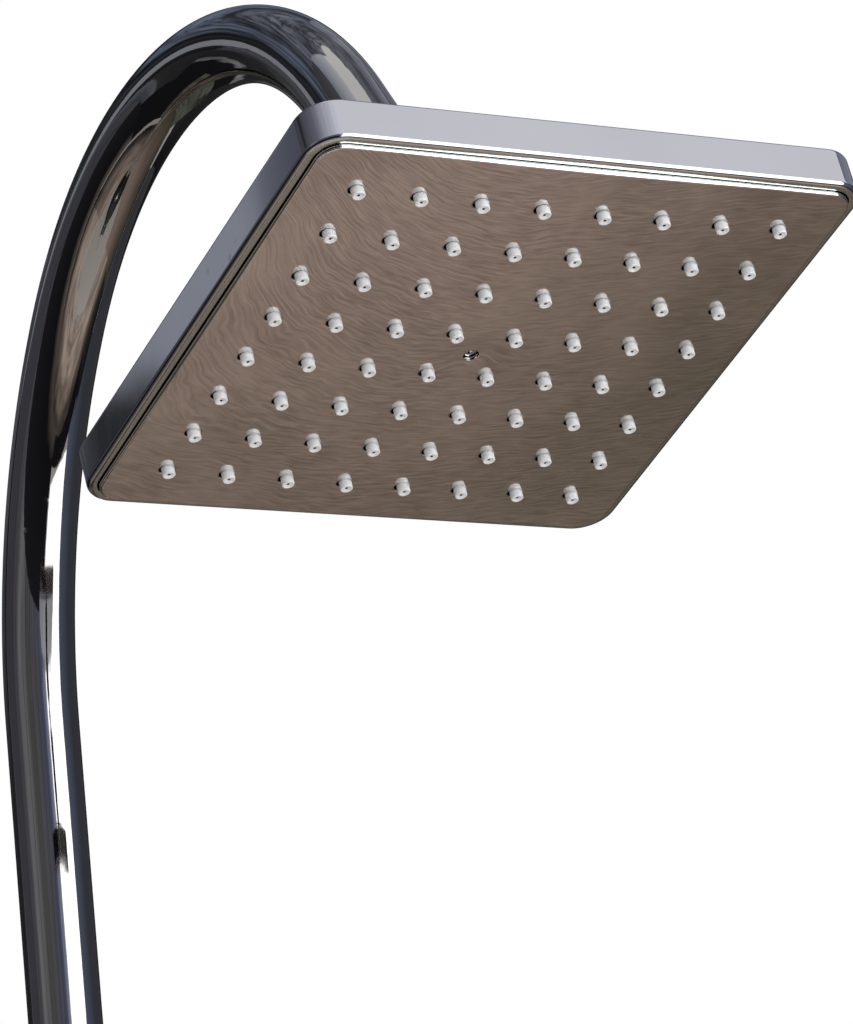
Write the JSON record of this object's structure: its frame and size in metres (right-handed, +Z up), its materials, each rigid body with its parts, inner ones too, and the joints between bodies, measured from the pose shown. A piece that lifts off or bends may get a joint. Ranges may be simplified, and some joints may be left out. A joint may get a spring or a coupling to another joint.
{
  "type": "solar outdoor shower",
  "caption": "Free-standing solar shower: black water column on a ground plate, lever mixer, foot tap, and a chrome gooseneck with a tilting square rain head.",
  "frame": {"origin": "on the ground, under the column's axis, at the centre of the ground mat's underside", "axes": "+Z up along the column, -Y towards the rain head and the user, +X to the right seen from the front"},
  "size_m": [0.32, 0.607, 2.1956],
  "materials": {
    "rubber": "matte black rubber",
    "ground_steel": "black powder coat",
    "bolt_steel": "stainless steel",
    "black_plastic": "black moulded plastic with a fine grain",
    "inner_black": "black plastic",
    "bare_brass": "bare brass",
    "valve_plastic": "white plastic",
    "water_tube": "natural plastic",
    "fitting_chrome": "polished chrome",
    "tube_chrome": "polished dark chrome",
    "head_chrome": "polished chrome",
    "face_chrome": "polished dark chrome with a warm tint",
    "nozzle_silicone": "pale silicone rubber"
  },
  "bodies": {
    "column": {"ground_mat": "rubber", "ground_plate": "ground_steel", "column_foot": "black_plastic", "foot_bolts_set": "bolt_steel", "foot_seal": "rubber", "foot_cover": "black_plastic", "lower_tank": "black_plastic", "upper_tank": "black_plastic", "coupling_ring": "black_plastic", "coupling_seals": "rubber", "top_cap": "black_plastic", "cap_seal": "rubber", "hose_inlet": "bare_brass", "inlet_seal": "rubber", "inlet_locknut": "bare_brass", "check_valve": "valve_plastic", "drain_plug": "bare_brass", "drain_seal": "rubber", "cold_tube": "water_tube", "hot_tube": "water_tube", "riser_tube": "water_tube", "mixer_body": "fitting_chrome", "mixer_seal": "rubber", "mixer_locknut": "bare_brass", "mixer_cartridge": "valve_plastic", "mixer_nose": "fitting_chrome", "foot_tap_body": "fitting_chrome", "foot_tap_seal": "rubber", "foot_tap_locknut": "bare_brass", "outlet_nipple": "bare_brass", "outlet_seal": "rubber", "outlet_locknut": "bare_brass", "slip_washer": "valve_plastic", "union_nut": "fitting_chrome"},
    "ball_stem": {"ball_stem": "fitting_chrome"},
    "ball_seat": {"ball_seat": "valve_plastic"},
    "shower_head": {"ball_nut": "fitting_chrome", "head_back": "head_chrome", "flow_disc": "valve_plastic", "chamber_seal": "rubber", "spray_plate": "inner_black", "nozzle_mat": "nozzle_silicone", "face_plate": "face_chrome", "centre_screw": "head_chrome", "head_screws": "bolt_steel"},
    "gooseneck": {"gooseneck_tube": "tube_chrome", "tube_foot": "bare_brass", "spigot_seals": "rubber", "tube_end_fitting": "bare_brass", "end_nut": "fitting_chrome", "end_washer": "rubber"},
    "mixer_spindle": {"mixer_rotor": "valve_plastic", "rotor_pin": "bolt_steel"},
    "mixer_lever": {"lever_stem": "bolt_steel", "lever_hub": "fitting_chrome", "lever_rod": "fitting_chrome", "lever_screw": "bolt_steel"},
    "foot_tap": {"foot_tap_spindle": "bare_brass", "foot_tap_knob": "fitting_chrome", "foot_tap_screw": "bolt_steel"}
  },
  "joints": [
    {"name": "gooseneck_swivel", "type": "hinge", "parent": "column", "child": "gooseneck", "pos_m": [0, 0, 1.7159], "axis": [0, 0, 1], "continuous": true},
    {"name": "stem_swivel", "type": "hinge", "parent": "gooseneck", "child": "ball_stem", "pos_m": [0, -0.33971, 2.05226], "axis": [0, 0.5996, 0.8003], "continuous": true},
    {"name": "head_tilt", "type": "hinge", "parent": "ball_stem", "child": "ball_seat", "pos_m": [0, -0.33971, 2.05226], "axis": [1, 0, 0], "range_deg": [-45.34, 4.66]},
    {"name": "head_spin", "type": "hinge", "parent": "ball_seat", "child": "shower_head", "pos_m": [0, -0.33971, 2.05226], "axis": [0, 0.284, 0.9588], "continuous": true},
    {"name": "mixer_turn", "type": "hinge", "parent": "column", "child": "mixer_spindle", "pos_m": [0, -0.112, 1.092], "axis": [0, -1, 0], "range_deg": [-45, 45]},
    {"name": "mixer_lift", "type": "hinge", "parent": "mixer_spindle", "child": "mixer_lever", "pos_m": [0, -0.112, 1.092], "axis": [-1, 0, 0], "range_deg": [0, 20]},
    {"name": "foot_tap_turn", "type": "hinge", "parent": "column", "child": "foot_tap", "pos_m": [0, -0.112, 0.308], "axis": [0, -1, 0], "range_deg": [0, 90]}
  ]
}
